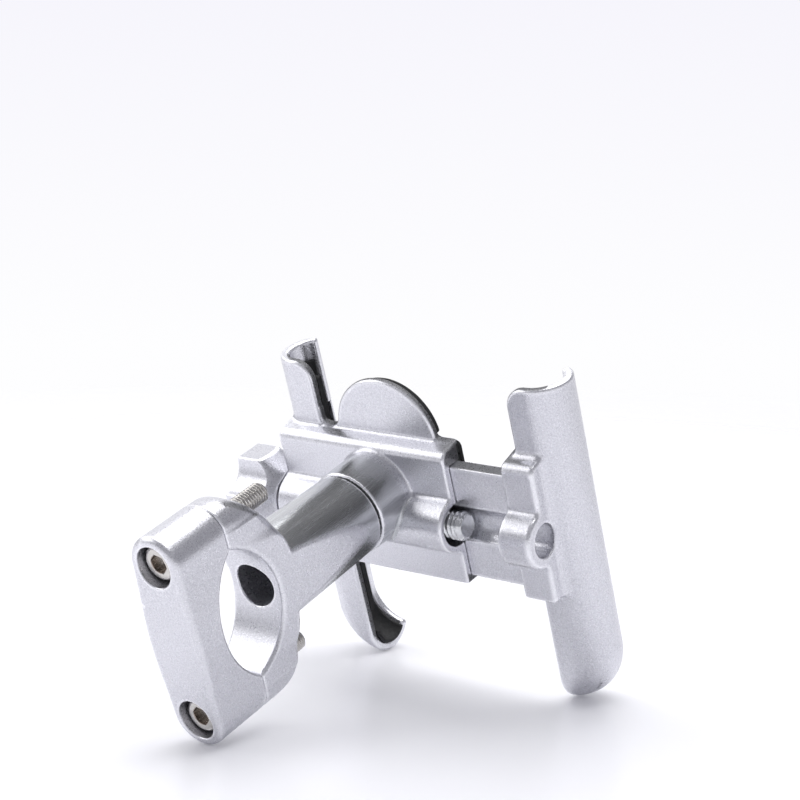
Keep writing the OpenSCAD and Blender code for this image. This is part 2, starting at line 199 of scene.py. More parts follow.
def hexagon(u, v, across_flats, turn=0.0):
    angle = np.arctan2(v, u) + turn
    sector = (angle + math.pi / 6) % (math.pi / 3) - math.pi / 6
    return np.hypot(u, v) * np.cos(sector) - across_flats / 2


# ---------------------------------------------------------------- from distance function to mesh

def sample(shape, points):
    return np.asarray(shape(points[:, 0], points[:, 1], points[:, 2]), float)


def gradient(shape, points, step=0.01):
    out = np.empty_like(points)
    for k in range(3):
        shift = np.zeros(3)
        shift[k] = step
        out[:, k] = (sample(shape, points + shift) - sample(shape, points - shift)) / (2 * step)
    return out


def net(shape, low, high, cell):
    """Surface net of a distance function: one vertex for each grid cell that the surface crosses."""
    count = np.ceil((high - low) / cell).astype(int) + 3
    start = low - cell * 1.37
    axes = [start[k] + cell * np.arange(count[k]) for k in range(3)]
    x, y, z = np.meshgrid(*axes, indexing="ij", sparse=True)
    d = np.broadcast_to(shape(x, y, z), count).astype(float)
    inside = d < 0
    ids, spots, quads = [], [], []
    stride = np.array([count[1] * count[2], count[2], 1])
    for k in range(3):
        step = np.eye(3, dtype=int)[k]
        side_a = np.eye(3, dtype=int)[(k + 1) % 3]
        side_b = np.eye(3, dtype=int)[(k + 2) % 3]
        lower = [slice(0, -1) if i == k else slice(1, -1) for i in range(3)]
        upper = [slice(1, None) if i == k else slice(1, -1) for i in range(3)]
        hit = np.argwhere(inside[tuple(lower)] != inside[tuple(upper)])
        hit += 1 - step
        d0 = d[tuple(hit.T)]
        d1 = d[tuple((hit + step).T)]
        spot = hit + step * (d0 / (d0 - d1))[:, None]
        ring = [hit - side_a - side_b, hit - side_b, hit, hit - side_a]
        ring_ids = np.stack([r @ stride for r in ring], 1)
        flip = d0 > 0
        ring_ids[flip] = ring_ids[flip][:, ::-1]
        quads.append(ring_ids)
        ids.append(ring_ids.ravel())
        spots.append(np.repeat(spot, 4, 0))
    ids = np.concatenate(ids)
    spots = np.concatenate(spots)
    cells, index = np.unique(ids, return_inverse=True)
    number = np.bincount(index)
    points = np.stack([np.bincount(index, spots[:, k]) / number for k in range(3)], 1)
    faces = np.searchsorted(cells, np.concatenate(quads))
    return start + points * cell, faces


def solid(name, shape, low, high, cell, body, stands_for):
    """Meshes a distance function, settles its vertices on the surface and puts the piece on its body."""
    points, faces = net(shape, low, high, cell)
    for _ in range(3):
        slope = gradient(shape, points)
        size = np.maximum((slope ** 2).sum(1), 0.05)
        move = -(sample(shape, points) / size)[:, None] * slope
        far = np.linalg.norm(move, axis=1)
        points += move * np.minimum(1, 0.4 * cell / np.maximum(far, 1e-9))[:, None]
    slope = gradient(shape, points)
    slope /= np.maximum(np.linalg.norm(slope, axis=1), 1e-9)[:, None]
    mesh = bpy.data.meshes.new(name)
    mesh.from_pydata((points * MM).tolist(), [], faces.tolist())
    mesh.validate()
    mesh.polygons.foreach_set("use_smooth", np.ones(len(mesh.polygons), bool))
    mesh.normals_split_custom_set_from_vertices(slope.tolist())
    piece = bpy.data.objects.new(name, mesh)
    bpy.context.scene.collection.objects.link(piece)
    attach(piece, body)
    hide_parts(stands_for)
    return piece


# ---------------------------------------------------------------- the cast shapes

def casting(y, z, bottom):
    """Profile of the body and of the sliding jaw's block: flat back, sloping top and the screw's barrel."""
    top = (z - BODY_TOP + (y - FRONT) * RAMP_SLOPE) / math.hypot(1, RAMP_SLOPE)
    wall = both(both(y - BODY_BACK, top, 2.0), bottom - z, 0.9)
    barrel = disc(y, z, SCREW_Y, SCREW_Z, BARREL_R)
    return both(join(wall, barrel, 1.3), FRONT - y, 0.25)


def sweep(across, z):
    """Distance outward along a jaw's section, which is swept down the side and round the foot."""
    drop = TURN_Z - z
    turned = np.where(across > 0, np.hypot(across, drop), drop)
    return np.where(drop > 0, turned, across)


def jaw(across, y, z):
    """A jaw: a plate rolled round its edge to a front lip.

    across is measured outward from the centre of the foot's turn.
    """
    lip = math.radians(64)
    middle = (RIM_IN + RIM_OUT) / 2
    u = sweep(across, z) - RIM_AT
    v = y - RIM_Y
    curve = np.where((u < 0) & (v > 0), v, np.hypot(u, v)) - middle
    strip = np.abs(curve) - (RIM_OUT - RIM_IN) / 2
    past_lip = np.where(v < 0, -u * math.sin(lip) - v * math.cos(lip), -RIM_OUT)
    outline = both(PLATE_EDGE - across, z - JAW_TOP, 5.0)
    return both(both(strip, outline, 0.75), past_lip, 0.9)


def cradle_body(x, y, z):
    ends = between(x, BODY_X0, BODY_X1)
    body = both(casting(y, z, BODY_BOTTOM), ends, 0.7)
    fixed = jaw(x - FIXED_TURN_X, y, z)
    tongue_x = (tongue_pad_low[0] + tongue_pad_high[0]) / 2
    tongue_r = tongue_pad_high[2] - TONGUE_Z + TONGUE_MARGIN
    valley = np.where(x > tongue_x, 2.7, 1.0)
    outline = join(disc(x, z, tongue_x, TONGUE_Z, tongue_r), z - BODY_TOP + 0.5, valley)
    outline = join(outline, FIXED_TURN_X + PLATE_EDGE - x, 2.7)
    outline = both(outline, slab_2d(x, z, BODY_X0 + 1.5, FIXED_TURN_X + 4, 6, JAW_TOP - 2))
    outline = both(outline, np.where(x > FIXED_TURN_X - 1, z - BODY_TOP - 4, -9.0))
    sheet = both(outline, between(y, PLATE_FRONT - 0.05, PLATE_FRONT - 0.05 + TONGUE_T), 0.75)
    body = join(body, join(sheet, fixed, 0.6), 0.9)
    boss = np.hypot(x, z) - BOSS_R + (y - BODY_BACK + 1) * BOSS_TAPER
    boss = both(both(boss, y - BOSS_END, 0.45), 6 - y)
    body = join(body, boss, 0.8)
    channel = join(slab_2d(y, z, -9, CHANNEL_BACK, WALL_BOTTOM, WALL_TOP, 0.3),
                   disc(y, z, SCREW_Y, SCREW_Z, CAVITY_R), 0.5)
    body = cut(body, both(channel, x - CHANNEL_X1), 0.3)
    recess = slab_2d(y, z, -9, COVER_BACK, plate_low[2] - 0.1, plate_high[2] + 0.1)
    body = cut(body, both(recess, x - plate_high[0] - 0.1), 0.1)
    flange_bay = between(x, CHANNEL_X1 - 0.5, CHANNEL_X1 + BUSH_FLANGE_T)
    body = cut(body, both(disc(y, z, SCREW_Y, SCREW_Z, BUSH_FLANGE_R), flange_bay), 0.1)
    body = cut(body, both(disc(y, z, SCREW_Y, SCREW_Z, BUSH_R), CHANNEL_X1 - 0.5 - x), 0.15)
    return cut(body, both(np.hypot(x, z) - BOLT_THREAD_R, BOLT_THREAD_END - y), 0.2)


def sliding_jaw(x, y, z):
    ends = between(x, BLOCK_X0, BLOCK_X1)
    block = both(casting(y, z, BLOCK_BOTTOM), ends, 0.9)
    moving = jaw(MOVING_TURN_X - x, y, z)
    rail = slab_2d(y, z, 2.5, CHANNEL_BACK - RAIL_GAP, WALL_BOTTOM + RAIL_GAP, WALL_TOP - RAIL_GAP, 0.35)
    rail = both(rail, between(x, BLOCK_X0 + 1, RAIL_X1), 0.3)
    trough = both(disc(y, z, SCREW_Y + 0.6, SCREW_Z, 4.75), BLOCK_X1 - x)
    rail = cut(rail, trough, 0.35)
    nut_bay = both(slab_2d(x, z, 1.5, 8.5, SCREW_Z - 4.8, SCREW_Z + 4.8), 3.4 - y)
    rail = cut(rail, nut_bay, 0.15)
    screw_hole = disc(y, z, SCREW_Y, SCREW_Z, SCREW_HOLE_R)
    block = cut(block, screw_hole, 0.4)
    rail = cut(rail, both(screw_hole, x - BLOCK_X1 - 5), 0.2)
    return join(join(block, moving, 1.8), rail, 0.25)


def clamp_outline(x, z):
    """Outline of the clamp along the swivel's axis: round ears and a slightly fuller middle."""
    reach = np.minimum(np.abs(z), EAR_Z)
    half = EAR_R + (WAIST - EAR_R) * (0.5 + 0.5 * np.cos(math.pi * reach / EAR_Z))
    return np.where(np.abs(z) < EAR_Z, np.abs(x) - half, np.hypot(x, np.abs(z) - EAR_Z) - EAR_R)


def clamp_arm(x, y, z):
    """Arm with its half of the clamp, whose back is rounded above and straight below."""
    cone = np.hypot(x, z) - ARM_R - (y - arm_low[1]) * ARM_TAPER
    shank = both(both(cone, arm_low[1] - y, 0.35), y - 58)
    upper = np.hypot(y - BACK_Y, np.maximum(z - BACK_Z, 0)) - BACK_R
    lower = (BACK_Y - BACK_R - y) * math.cos(BACK_LEAN) + (BACK_Z - z) * math.sin(BACK_LEAN)
    back = np.maximum(both(upper, z - EAR_Z - EAR_R, 1.5), both(lower, -z - EAR_Z - EAR_R, 8.0))
    shoulder = EAR_R + (FLAT_HALF - EAR_R) * ease((16 - np.abs(z)) / 7)
    wide = both((np.abs(x) - shoulder) * 0.8, np.abs(z) - EAR_Z)
    outline = join(clamp_outline(x, z), wide, 1.0)
    half = both(both(outline, back, 2.0), y - SPLIT, 0.5)
    arm = join(shank, half, 0.3)
    flats = (np.abs(x) - FLAT_HALF + (y - FLAT_Y) * FLAT_SLOPE) / math.hypot(1, FLAT_SLOPE)
    arm = both(both(arm, flats, 0.45), y - SPLIT, 0.3)
    arm = cut(arm, disc(y, z, SEAT_Y, 0, SEAT_R), 0.9)
    arm = cut(arm, np.hypot(x, z) - BOLT_HOLE_R)
    arm = cut(arm, both(np.hypot(x, z) - COUNTERBORE_R, BOLT_SEAT - y), 0.3)
    return cut(arm, both(np.hypot(x, np.abs(z) - EAR_Z) - CLAMP_THREAD_R, 40 - y), 0.3)


def clamp_cap(x, y, z):
    crown = np.hypot(y - cap_high[1] + CROWN_R, z) - CROWN_R
    cap = both(clamp_outline(x, z), crown, 1.4)
    cap = both(cap, cap_low[1] - y, 0.5)
    cap = cut(cap, disc(y, z, CAP_SEAT_Y, 0, CAP_SEAT_R), 0.7)
    ear = np.hypot(x, np.abs(z) - EAR_Z)
    cap = cut(cap, ear - CLAMP_HOLE_R, 0.3)
    return cut(cap, both(ear - HEAD_BORE_R, HEAD_SEAT - y), 0.35)


def knob(x, y, z):
    """Four flat-topped lobes with a scallop between each pair, on a cone that clears the fixed jaw."""
    u, v = y - SCREW_Y, z - SCREW_Z
    half = (knob_high[2] - knob_low[2]) / 2
    outline = slab_2d(u, v, -half, half, -half, half, 0.5)
    for angle in (45, 135, 225, 315):
        a = math.radians(angle)
        scallop = disc(u, v, SCALLOP_AT * math.cos(a), SCALLOP_AT * math.sin(a), SCALLOP_R)
        outline = cut(outline, scallop, 0.7)
    radius = np.hypot(u, v)
    cone = (radius - KNOB_CONE_R - (x - knob_low[0])) * math.sqrt(0.5)
    body = both(both(outline, x - knob_high[0], 0.9), cone, 0.5)
    body = both(body, knob_low[0] - x, 0.3)
    return cut(body, both(radius - JOURNAL_R - 0.02, x - knob_high[0] + 1.5))


# ---------------------------------------------------------------- hardware and pads

def lead_screw(x, y, z):
    u, v = y - SCREW_Y, z - SCREW_Z
    shoulder = CHANNEL_X1 - 0.15
    radius = np.hypot(u, v)
    fade = ease((x - shoulder + 3) / 2)
    rod = thread(x, u, v, SCREW_R, 0.62 * (1 - fade), 1.25)
    tip = (radius - SCREW_R + 0.95 - (x - screw_low[0])) * 0.7
    rod = both(both(both(rod, tip, 0.1), screw_low[0] - x, 0.12), x - shoulder, 0.2)
    return join(rod, both(radius - JOURNAL_R, between(x, shoulder - 1, screw_high[0]), 0.2))


def clamp_screw(x, y, z):
    """Socket-head cap screw on the swivel's axis; it is moved to its ear when it is meshed."""
    head_y = clamp_screw_high[1] - HEAD_H
    tip_y = clamp_screw_low[1]
    radius = np.hypot(x, z)
    fade = ease((y - head_y + 9) / 1.5)
    rod = thread(y, z, x, M5_R, 0.42 * (1 - fade), 0.8)
    tip = (radius - M5_R + 0.75 - (y - tip_y)) * 0.7
    rod = both(both(rod, tip, 0.1), between(y, tip_y, head_y + 1), 0.1)
    rim = (radius - HEAD_R + (y - clamp_screw_high[1] + 0.7)) * 0.7
    head = both(both(radius - HEAD_R, between(y, head_y, clamp_screw_high[1]), 0.15), rim, 0.2)
    socket = both(hexagon(x, z, 4.0, 0.3), clamp_screw_high[1] - 2.6 - y)
    return join(cut(head, socket, 0.2), rod, 0.2)


def soft_block(x, y, z, low, high, r):
    block = slab_2d(x, z, low[0], high[0], low[2], high[2], 1.5)
    return both(block, between(y, low[1], high[1]), r)


def body_pad(x, y, z):
    return soft_block(x, y, z, pad_low, pad_high, 0.4)


def tongue_pad(x, y, z):
    low, high = tongue_pad_low, tongue_pad_high
    round_top = disc(x, z, (low[0] + high[0]) / 2, TONGUE_Z, high[2] - TONGUE_Z)
    face = both(round_top, low[2] - z, 0.8)
    return both(face, between(y, low[1], high[1]), 0.4)


def jaw_liner(across, y, z, block_low, block_high):
    """Rubber inside a jaw's rolled edge and in front of its plate, thinned where the block stands forward."""
    u, v = across - RIM_AT, y - RIM_Y
    ring = np.abs(np.hypot(u, v) - RIM_IN + LINER_T / 2 + 0.01) - LINER_T / 2 + 0.01
    arc_end = np.where(v < 0, -u * math.sin(0.9) - v * math.cos(0.9), -9.0)
    arc_end = np.where((v > 0) & (u < 0), -u, arc_end)
    ring = both(ring, arc_end, 0.3)
    flat = slab_2d(across, y, PLATE_EDGE, RIM_AT + 0.5, 0, PLATE_FRONT - 0.05, 0.3)
    flat = cut(flat, np.hypot(u, v) - RIM_IN + LINER_T)
    lining = join(ring, flat, 0.1)
    behind = both(between(z, block_low, block_high), FRONT - 0.02 - y)
    return cut(both(lining, between(z, TURN_Z, JAW_TOP - 5), 0.3), behind)


def foot_liner(across, y, z):
    u, v = sweep(across, z) - RIM_AT, y - RIM_Y
    ring = np.abs(np.hypot(u, v) - RIM_IN + LINER_T / 2 + 0.01) - LINER_T / 2 + 0.01
    arc_end = np.where(v < 0, -u * math.sin(0.9) - v * math.cos(0.9), -u)
    lining = both(ring, arc_end, 0.3)
    wedge = np.maximum(z - TURN_Z + 0.03, 0.6 - across)
    return both(lining, wedge, 0.2)


# ---------------------------------------------------------------- materials

def node(tree, kind, **values):
    made = tree.nodes.new(kind)
    for key, value in values.items():
        setattr(made, key, value)
    return made


def grain(tree, size_mm, detail=2.0):
    """Noise whose features are about size_mm across; returns its value socket."""
    place = node(tree, "ShaderNodeTexCoord")
    noise = node(tree, "ShaderNodeTexNoise")
    noise.inputs["Scale"].default_value = 1 / (size_mm * MM)
    noise.inputs["Detail"].default_value = detail
    tree.links.new(place.outputs["Object"], noise.inputs["Vector"])
    return noise.outputs["Fac"]


def ramp(tree, value, low, high, start=0.3, end=0.7):
    """Maps a noise value to a range; colours give a colour socket and numbers give a value socket."""
    if isinstance(low, tuple):
        made = node(tree, "ShaderNodeValToRGB")
        made.color_ramp.elements[0].position = start
        made.color_ramp.elements[1].position = end
        made.color_ramp.elements[0].color = (*low, 1)
        made.color_ramp.elements[1].color = (*high, 1)
        tree.links.new(value, made.inputs["Fac"])
        return made.outputs["Color"]
    made = node(tree, "ShaderNodeMapRange")
    for key, number in (("From Min", start), ("From Max", end), ("To Min", low), ("To Max", high)):
        made.inputs[key].default_value = number
    tree.links.new(value, made.inputs["Value"])
    return made.outputs["Result"]


def bump(tree, value, depth_mm, strength, under=None):
    made = node(tree, "ShaderNodeBump")
    made.inputs["Distance"].default_value = depth_mm * MM
    made.inputs["Strength"].default_value = strength
    tree.links.new(value, made.inputs["Height"])
    if under:
        tree.links.new(under, made.inputs["Normal"])
    return made.outputs["Normal"]


def material(name, metallic, colour, colour_grain, roughness, roughness_grain, bumps):
    """Principled material whose colour, roughness and relief all come from noise.

    bumps is a list of (grain size, depth, strength), sizes in millimetres.
    """
    made = bpy.data.materials.new(name)
    made.use_nodes = True
    tree = made.node_tree
    shader = tree.nodes["Principled BSDF"]
    shader.inputs["Metallic"].default_value = metallic
    tree.links.new(ramp(tree, grain(tree, colour_grain, 4), *colour), shader.inputs["Base Color"])
    tree.links.new(ramp(tree, grain(tree, roughness_grain, 3), *roughness), shader.inputs["Roughness"])
    normal = None
    for size, depth, strength in bumps:
        normal = bump(tree, grain(tree, size), depth, strength, normal)
    if normal:
        tree.links.new(normal, shader.inputs["Normal"])
    return made


def product(tree, *sockets):
    """Multiplies value sockets together."""
    result = sockets[0]
    for socket in sockets[1:]:
        times = node(tree, "ShaderNodeMath", operation="MULTIPLY")
        tree.links.new(result, times.inputs[0])
        tree.links.new(socket, times.inputs[1])
        result = times.outputs["Value"]
    return result


def overlay(tree, socket, mask, new):
    """Puts a new value or colour over what feeds a shader socket, where the mask is one."""
    mix = node(tree, "ShaderNodeMixRGB")
    tree.links.new(mask, mix.inputs["Fac"])
    tree.links.new(socket.links[0].from_socket, mix.inputs[1])
    tree.links.new(new, mix.inputs[2])
    tree.links.new(mix.outputs["Color"], socket)


def turned(made):
    """Smoother metal with lengthwise streaks on the boss and the cone, which are turned, and a painted dark
    reflection: their colour is darkened where the phone's black back would be mirrored.
    """
    tree = made.node_tree
    shader = tree.nodes["Principled BSDF"]
    place = node(tree, "ShaderNodeTexCoord")
    axes = node(tree, "ShaderNodeSeparateXYZ")
    tree.links.new(place.outputs["Object"], axes.inputs[0])
    radial = node(tree, "ShaderNodeVectorMath", operation="MULTIPLY")
    radial.inputs[1].default_value = (1, 0, 1)
    tree.links.new(place.outputs["Object"], radial.inputs[0])
    radius = node(tree, "ShaderNodeVectorMath", operation="LENGTH")
    tree.links.new(radial.outputs["Vector"], radius.inputs[0])
    width = node(tree, "ShaderNodeMath", operation="ABSOLUTE")
    tree.links.new(axes.outputs["X"], width.inputs[0])
    flats = node(tree, "ShaderNodeMath", operation="MULTIPLY_ADD")
    tree.links.new(axes.outputs["Y"], flats.inputs[0])
    flats.inputs[1].default_value = FLAT_SLOPE
    tree.links.new(width.outputs["Value"], flats.inputs[2])
    side_view = node(tree, "ShaderNodeVectorMath", operation="MULTIPLY")
    side_view.inputs[1].default_value = (0, 1, 1)
    tree.links.new(place.outputs["Object"], side_view.inputs[0])
    clamp_back = node(tree, "ShaderNodeVectorMath", operation="DISTANCE")
    clamp_back.inputs[1].default_value = (0, BACK_Y * MM, BACK_Z * MM)
    tree.links.new(side_view.outputs["Vector"], clamp_back.inputs[0])
    flat_edge = FLAT_HALF + FLAT_Y * FLAT_SLOPE

    def fade(socket, nothing_mm, full_mm):
        return ramp(tree, socket, 0.0, 1.0, nothing_mm * MM, full_mm * MM)

    mask = product(tree,
                   fade(radius.outputs["Value"], 11.9, 11.2),
                   fade(radius.outputs["Value"], 8.0, 8.6),
                   fade(axes.outputs["Y"], BODY_BACK + 0.4, BODY_BACK + 3.4),
                   fade(clamp_back.outputs["Value"], BACK_R + 0.1, BACK_R + 0.5),
                   fade(flats.outputs["Value"], flat_edge - 0.15, flat_edge - 0.35))
    outward = node(tree, "ShaderNodeVectorMath", operation="NORMALIZE")
    tree.links.new(radial.outputs["Vector"], outward.inputs[0])
    along = node(tree, "ShaderNodeVectorMath", operation="MULTIPLY")
    along.inputs[1].default_value = (0, 0.02 / (BOSS_R * MM), 0)
    tree.links.new(place.outputs["Object"], along.inputs[0])
    around = node(tree, "ShaderNodeVectorMath", operation="ADD")
    tree.links.new(outward.outputs["Vector"], around.inputs[0])
    tree.links.new(along.outputs["Vector"], around.inputs[1])
    streak = node(tree, "ShaderNodeTexNoise")
    streak.inputs["Scale"].default_value = 42
    streak.inputs["Detail"].default_value = 3
    tree.links.new(around.outputs["Vector"], streak.inputs["Vector"])
    # Painted reflection: darker colour standing in for the mirrored black phone, streaked like the turned
    # metal.
    metal = ramp(tree, streak.outputs["Fac"], (0.54, 0.55, 0.57), (0.65, 0.66, 0.68))
    overlay(tree, shader.inputs["Base Color"], mask, metal)
    overlay(tree, shader.inputs["Roughness"], mask, ramp(tree, streak.outputs["Fac"], 0.22, 0.28))


def socket_tint(made, colour):
    """Darker, browner metal inside the hexagon sockets of the clamp's screws."""
    tree = made.node_tree
    place = node(tree, "ShaderNodeTexCoord")
    axes = node(tree, "ShaderNodeSeparateXYZ")
    tree.links.new(place.outputs["Object"], axes.inputs[0])
    height = node(tree, "ShaderNodeMath", operation="ABSOLUTE")
    tree.links.new(axes.outputs["Z"], height.inputs[0])
    spot = node(tree, "ShaderNodeCombineXYZ")
    tree.links.new(axes.outputs["X"], spot.inputs["X"])
    tree.links.new(height.outputs["Value"], spot.inputs["Z"])
    off_axis = node(tree, "ShaderNodeVectorMath", operation="DISTANCE")
    off_axis.inputs[1].default_value = (0, 0, EAR_Z * MM)
    tree.links.new(spot.outputs["Vector"], off_axis.inputs[0])
    mask = product(tree,
                   ramp(tree, off_axis.outputs["Value"], 1.0, 0.0, 2.15 * MM, 2.35 * MM),
                   ramp(tree, axes.outputs["Y"], 0.0, 1.0, clamp_screw_high[1] * MM - 2.8 * MM,
                        clamp_screw_high[1] * MM - 0.2 * MM))
    tint = ramp(tree, grain(tree, 0.5), colour, tuple(c * 0.7 for c in colour))
    overlay(tree, tree.nodes["Principled BSDF"].inputs["Base Color"], mask, tint)


def painted_edge_highlights(made, colour):
    """Lightens the convex edges with a painted highlight, so that they show brighter than the faces."""
    tree = made.node_tree
    geometry = node(tree, "ShaderNodeNewGeometry")
    mask = ramp(tree, geometry.outputs["Pointiness"], 0.0, 0.9, 0.504, 0.54)
    tint = ramp(tree, grain(tree, 0.4), colour, tuple(min(1, c * 1.05) for c in colour))
    overlay(tree, tree.nodes["Principled BSDF"].inputs["Base Color"], mask, tint)


cast_silver = material("cast_silver", 0.94, ((0.60, 0.60, 0.64), (0.79, 0.79, 0.83)), 0.35,
                       (0.24, 0.40), 0.4, [(0.42, 0.06, 0.6), (1.6, 0.10, 0.12)])
# Turned streaks, with a painted dark reflection on the cone and the boss.
turned(cast_silver)
# Painted highlights on the convex edges.
painted_edge_highlights(cast_silver, (0.92, 0.92, 0.95))
steel = material("steel", 1.0, ((0.36, 0.36, 0.37), (0.5, 0.5, 0.5)), 1.0,
                 (0.25, 0.4), 0.6, [(0.3, 0.01, 0.2)])
stainless = material("stainless", 1.0, ((0.58, 0.56, 0.53), (0.68, 0.66, 0.63)), 0.8, (0.18, 0.28), 0.6,
                     [(0.3, 0.01, 0.15)])
chrome = material("chrome", 1.0, ((0.60, 0.61, 0.62), (0.78, 0.79, 0.80)), 1.5,
                  (0.08, 0.2), 0.6, [(0.4, 0.01, 0.1)])
brass = material("brass", 1.0, ((0.55, 0.40, 0.16), (0.70, 0.53, 0.24)), 1.2,
                 (0.22, 0.4), 0.5, [(0.3, 0.01, 0.2)])
rubber = material("rubber", 0.0, ((0.012, 0.012, 0.013), (0.03, 0.03, 0.032)), 0.4, (0.6, 0.85), 0.8,
                  [(0.12, 0.03, 0.5), (1.5, 0.1, 0.15)])
foam = material("foam", 0.0, ((0.010, 0.010, 0.011), (0.035, 0.035, 0.037)), 0.25, (0.8, 0.98), 0.5,
                [(0.28, 0.12, 0.8)])
socket_tint(stainless, (0.40, 0.33, 0.28))
nylon = material("nylon", 0.0, ((0.02, 0.02, 0.021), (0.045, 0.045, 0.047)), 0.9,
                 (0.4, 0.6), 0.8, [(0.3, 0.02, 0.3)])


def paint(piece, finish):
    piece.data.materials.clear()
    piece.data.materials.append(finish)


# ---------------------------------------------------------------- the pieces

CAST_CELL = 0.45            # size of the mesh's grid on the largest castings
MARGIN = 0.6                # room round a piece's box when it is meshed
CAD_ROUND = 0.12            # edge rounds of the CAD nodes that stay


def add(name, shape, body, finish, cell, stands_for):
    """Meshes one piece inside the box of the CAD node that it stands for."""
    box_low, box_high = box_mm(stands_for)
    piece = solid(name, shape, box_low - MARGIN, box_high + MARGIN, cell, body, stands_for)
    paint(piece, finish)


add("cradle_casting", cradle_body, "cradle", cast_silver, CAST_CELL, "cradle_body")
add("sliding_jaw_casting", sliding_jaw, "jaw", cast_silver, CAST_CELL, "sliding_jaw")
add("clamp_arm_casting", clamp_arm, "arm", cast_silver, 0.4, "clamp_arm")
add("clamp_cap_casting", clamp_cap, "cap", cast_silver, 0.35, "clamp_cap")
add("knob_casting", knob, "knob", cast_silver, 0.35, "adjusting_knob")
add("lead_screw_threaded", lead_screw, "knob", chrome, 0.16, "lead_screw")
for end, side in (("upper", 1), ("lower", -1)):
    add(f"clamp_screw_{end}_threaded", lambda x, y, z, s=side: clamp_screw(x, y, z - s * EAR_Z),
        f"{end}_screw", stainless, 0.14, f"clamp_screw_{end}")
add("foam_pad", body_pad, "cradle", foam, 0.4, "body_pad")
add("tongue_foam", tongue_pad, "cradle", foam, 0.3, "tongue_pad")
add("fixed_jaw_rubber", lambda x, y, z: jaw_liner(x - FIXED_TURN_X, y, z, BODY_BOTTOM, BODY_TOP),
    "cradle", rubber, 0.25, "fixed_jaw_pad")
add("moving_jaw_rubber", lambda x, y, z: jaw_liner(MOVING_TURN_X - x, y, z, BLOCK_BOTTOM, BODY_TOP),
    "jaw", rubber, 0.25, "moving_jaw_pad")
add("fixed_foot_rubber", lambda x, y, z: foot_liner(x - FIXED_TURN_X, y, z),
    "cradle", rubber, 0.25, "fixed_foot_pad")
add("moving_foot_rubber", lambda x, y, z: foot_liner(MOVING_TURN_X - x, y, z),
    "jaw", rubber, 0.25, "moving_foot_pad")


def dress_cad(name, finish):
    """Gives a CAD node that stays its finish and small edge rounds."""
    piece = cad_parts[name]
    paint(piece, finish)
    weld = piece.modifiers.new("weld", "WELD")
    weld.merge_threshold = 0.00001
    rounds = piece.modifiers.new("rounds", "BEVEL")
    rounds.width = CAD_ROUND * MM
    rounds.segments = 2
    rounds.limit_method = "ANGLE"
    rounds.angle_limit = math.radians(35)


for name in ("cover_plate", "cover_screws", "knob_grub_screw", "swivel_bolt", "swivel_spring_washer",
             "swivel_flat_washer", "thrust_washer"):
    dress_cad(name, steel)
dress_cad("swivel_friction_washer", nylon)
for name in ("screw_bush", "drive_nut"):
    dress_cad(name, brass)


# ---------------------------------------------------------------- floor, light and camera

def resting_tilt():
    """Angle about X, and height, of the floor that touches the jaws' feet and the clamp's lower edge."""
    edge = 1.0
    foot = np.array([RIM_Y, TURN_Z - RIM_AT])
    clamp = np.array([cap_high[1] - 0.8 - edge, cap_low[2] + edge])
    span = clamp - foot
    angle = math.atan2(span[1], span[0]) + math.asin((RIM_OUT - edge) / np.hypot(*span))
    up = np.array([-math.sin(angle), math.cos(angle)])
    return angle, float(foot @ up) - RIM_OUT


tilt, floor_height = resting_tilt()
floor_up = Vector((0, -math.sin(tilt), math.cos(tilt)))


def staged(name, mesh_points, faces):
    mesh = bpy.data.meshes.new(name)
    mesh.from_pydata(mesh_points, [], faces)
    made = bpy.data.objects.new(name, mesh)
    bpy.context.scene.collection.objects.link(made)
    return made


def one_sided(tree, shader_socket):
    """Shows a surface only from its front, so that it never hides the object from behind."""
    geometry = node(tree, "ShaderNodeNewGeometry")
    clear = node(tree, "ShaderNodeBsdfTransparent")
    mix = node(tree, "ShaderNodeMixShader")
    tree.links.new(geometry.outputs["Backfacing"], mix.inputs["Fac"])
    tree.links.new(shader_socket, mix.inputs[1])
    tree.links.new(clear.outputs["BSDF"], mix.inputs[2])
    tree.links.new(mix.outputs["Shader"], tree.nodes["Material Output"].inputs["Surface"])


